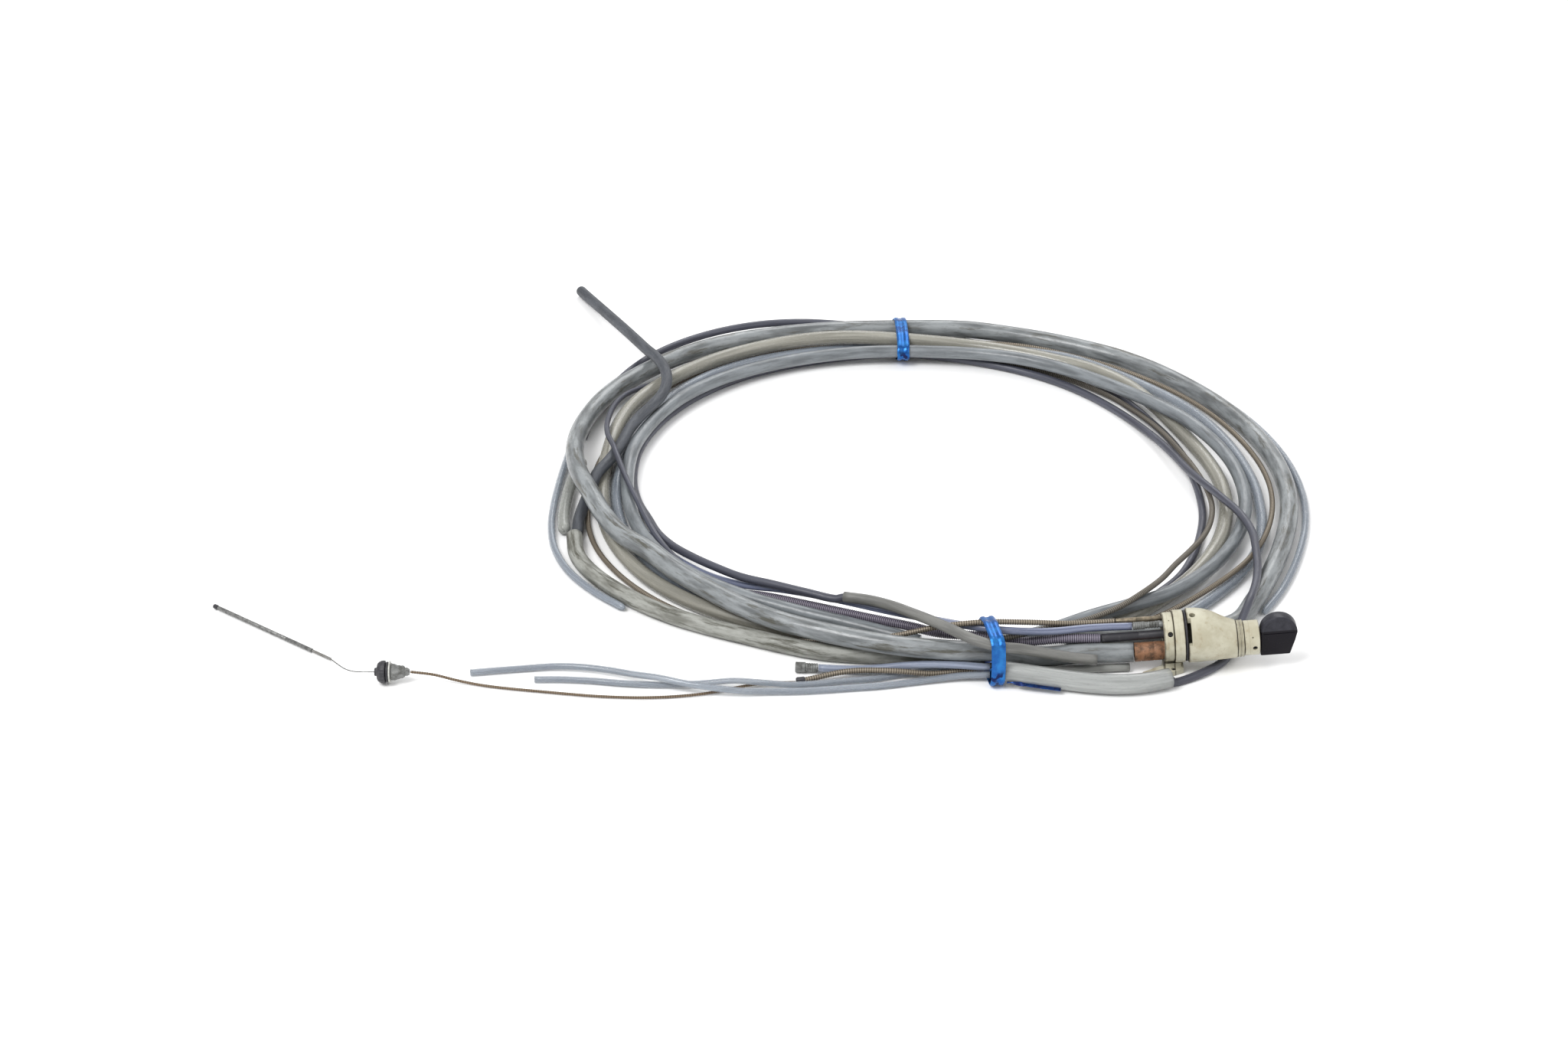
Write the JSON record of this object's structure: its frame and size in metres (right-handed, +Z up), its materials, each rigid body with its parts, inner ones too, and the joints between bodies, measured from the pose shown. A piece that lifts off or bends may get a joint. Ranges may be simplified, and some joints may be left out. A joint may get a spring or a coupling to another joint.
{
  "type": "remote cable release",
  "caption": "Remote cable release: cream head with a sprung pull knob, tied coil of sleeves, conduits and cables, and a pull-wire end fitting with a rod.",
  "frame": {"origin": "on the flat foot of the cream clip, at floor level, where the head rests", "axes": "+X along the head towards its knob, +Y across the coil away from the head's front side, +Z up from the floor"},
  "size_m": [0.5721, 0.4501, 0.0309],
  "materials": {
    "cream": "aged and dirty",
    "dark_rubber": "satin",
    "gloss_black": "polished",
    "dark_steel": "dull",
    "steel": "worn",
    "brass": "tarnished",
    "copper": "stained copper",
    "milky": "milky, grimy",
    "clear": "hazy clear tube",
    "slate": "satin jacket",
    "brown": "spiral wound jacket",
    "grey": "matt sleeve",
    "blue_foil": "metallic foil"
  },
  "bodies": {
    "release": {"rear_ring": "cream", "bell_housing": "cream", "neck_ring": "cream", "front_collar": "cream", "cable_clip": "cream", "cable_plate": "dark_rubber", "gasket": "dark_rubber", "black_boot": "dark_rubber", "fitting_ring": "dark_rubber", "conduit_ferrule": "dark_rubber", "ring_screw_1": "dark_steel", "ring_screw_2": "dark_steel", "collar_screw_1": "dark_steel", "collar_screw_2": "dark_steel", "clip_screw_1": "dark_steel", "clip_screw_2": "dark_steel", "clip_screw_3": "dark_steel", "return_spring": "steel", "crimp_ferrule": "steel", "drain_ferrule": "steel", "crimp_body": "steel", "guide_bush": "brass", "bronze_ferrule": "brass", "copper_ferrule": "copper", "milky_tube": "milky", "inner_milky_tube": "milky", "stained_sleeve": "milky", "fitting_washer": "milky", "middle_clear_tube": "clear", "outer_clear_tube": "clear", "wide_clear_sleeve": "clear", "pale_tube": "clear", "clear_sleeve": "clear", "clear_tail": "clear", "short_clear_tail": "clear", "drain_tube": "clear", "air_tube": "clear", "grey_hose": "slate", "slate_cable": "slate", "slate_cable_2": "slate", "thin_slate_loop": "slate", "ribbed_conduit": "slate", "release_conduit": "brown", "brown_conduit": "brown", "tail_conduit": "brown", "grey_sleeve": "grey", "short_grey_sleeve": "grey", "back_tie": "blue_foil", "front_tie": "blue_foil", "tie_tail": "blue_foil"},
    "knob": {"thumb_knob": "gloss_black", "plunger_rod": "steel", "pull_disc": "steel"},
    "wire": {"release_wire": "steel", "tip_sleeve": "steel", "tip_rod": "steel", "tip_cap": "dark_rubber"},
    "nut": {"socket_nut": "dark_rubber"},
    "ring": {"clamp_ring": "cream"}
  },
  "joints": [
    {"name": "knob_pull", "type": "slide", "parent": "release", "child": "knob", "axis": [0.9962, 0, 0.0872], "range_m": [0, 0.005], "stiffness_N_per_m": 300, "springref_m": -0.003, "deforming": ["return_spring"]},
    {"name": "wire_travel", "type": "slide", "parent": "release", "child": "wire", "axis": [1, 0, 0], "range_m": [0, 0.005]},
    {"name": "nut_spin", "type": "hinge", "parent": "release", "child": "nut", "pos_m": [-0.38, -0.004, 0.0061], "axis": [-1, 0, 0], "continuous": true},
    {"name": "ring_turn", "type": "hinge", "parent": "release", "child": "ring", "pos_m": [0.004, 0.012, 0.0162], "axis": [0.9962, 0, 0.0872], "range_deg": [0, 30]}
  ],
  "couplings": [
    {"joint": "wire_travel", "follows": "knob_pull", "ratio": 1}
  ]
}
